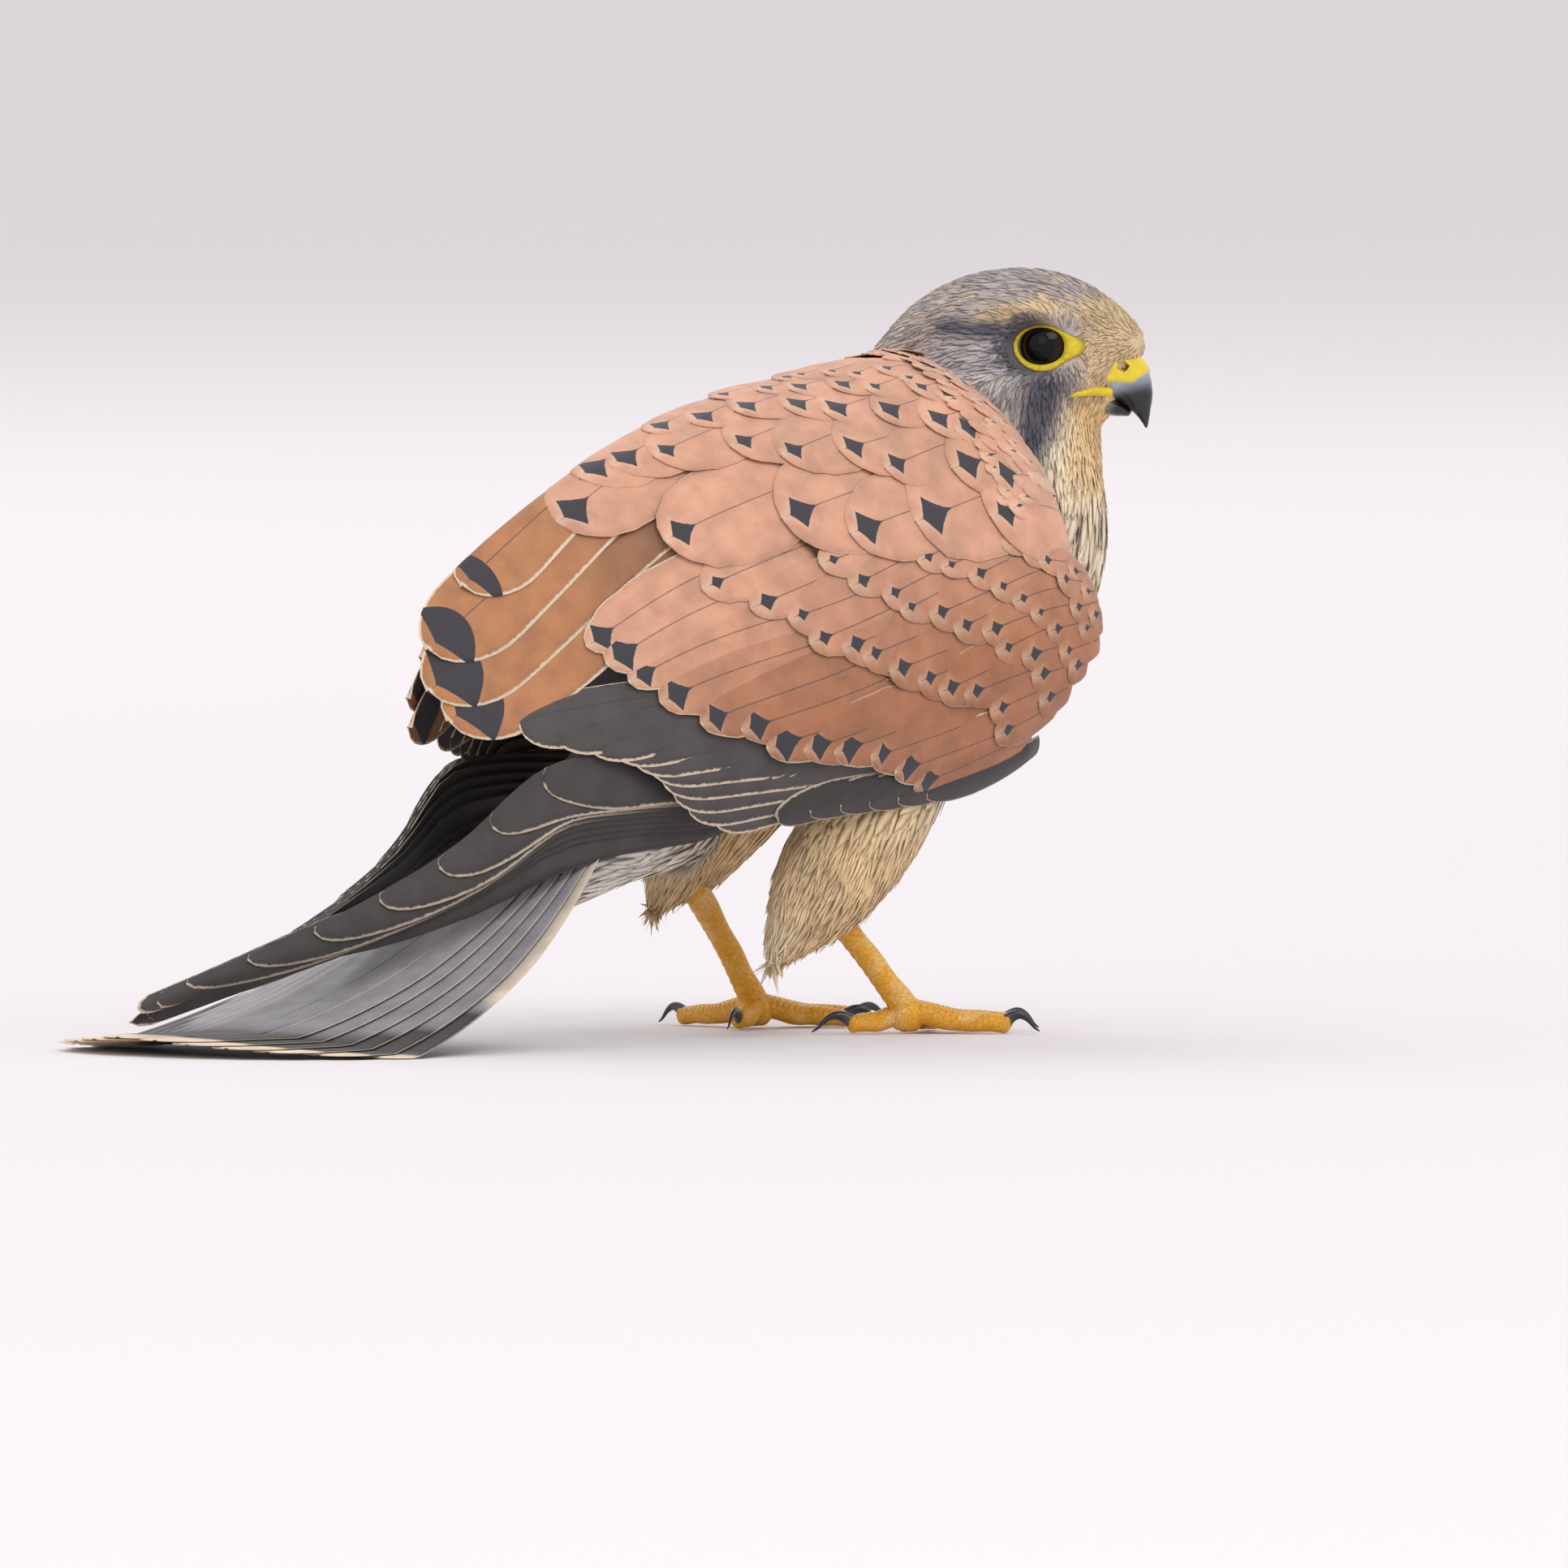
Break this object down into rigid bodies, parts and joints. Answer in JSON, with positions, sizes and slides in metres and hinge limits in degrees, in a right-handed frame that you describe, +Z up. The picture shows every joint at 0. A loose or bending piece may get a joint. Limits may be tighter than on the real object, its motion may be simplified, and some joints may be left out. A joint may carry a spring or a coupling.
{
  "type": "common kestrel model",
  "caption": "Life-size male kestrel standing with folded wings, fanned tail laid on the floor and head turned to the side.",
  "frame": {"origin": "middle of the bird's bounding box at the floor it stands on", "axes": "+X the way the body faces, +Y the bird's left side, +Z up"},
  "size_m": [0.2864, 0.105, 0.1685],
  "materials": {
    "feathers": "soft overlapping contour feathers",
    "head_feathers": "short fine streaked feathers",
    "wing_feathers": "closed vanes with dark spots and pale edges",
    "tail_feathers": "long closed vanes, black band and pale tips",
    "bill": "smooth horn with a waxy yellow cere",
    "eye": "wet and very glossy",
    "leg_scales": "scaled yellow skin",
    "claw": "polished dark horn"
  },
  "bodies": {
    "root": {"torso": "feathers", "neck": "feathers", "head": "head_feathers", "bill_upper": "bill", "bill_lower": "bill", "eye_right": "eye", "eye_left": "eye", "wing_right": "wing_feathers", "wing_left": "wing_feathers", "tail": "tail_feathers", "thigh_right": "feathers", "tarsus_right": "leg_scales", "foot_right": "leg_scales", "claw_inner_right": "claw", "claw_middle_right": "claw", "claw_outer_right": "claw", "claw_back_right": "claw", "thigh_left": "feathers", "tarsus_left": "leg_scales", "foot_left": "leg_scales", "claw_inner_left": "claw", "claw_middle_left": "claw", "claw_outer_left": "claw", "claw_back_left": "claw"}
  },
  "joints": []
}
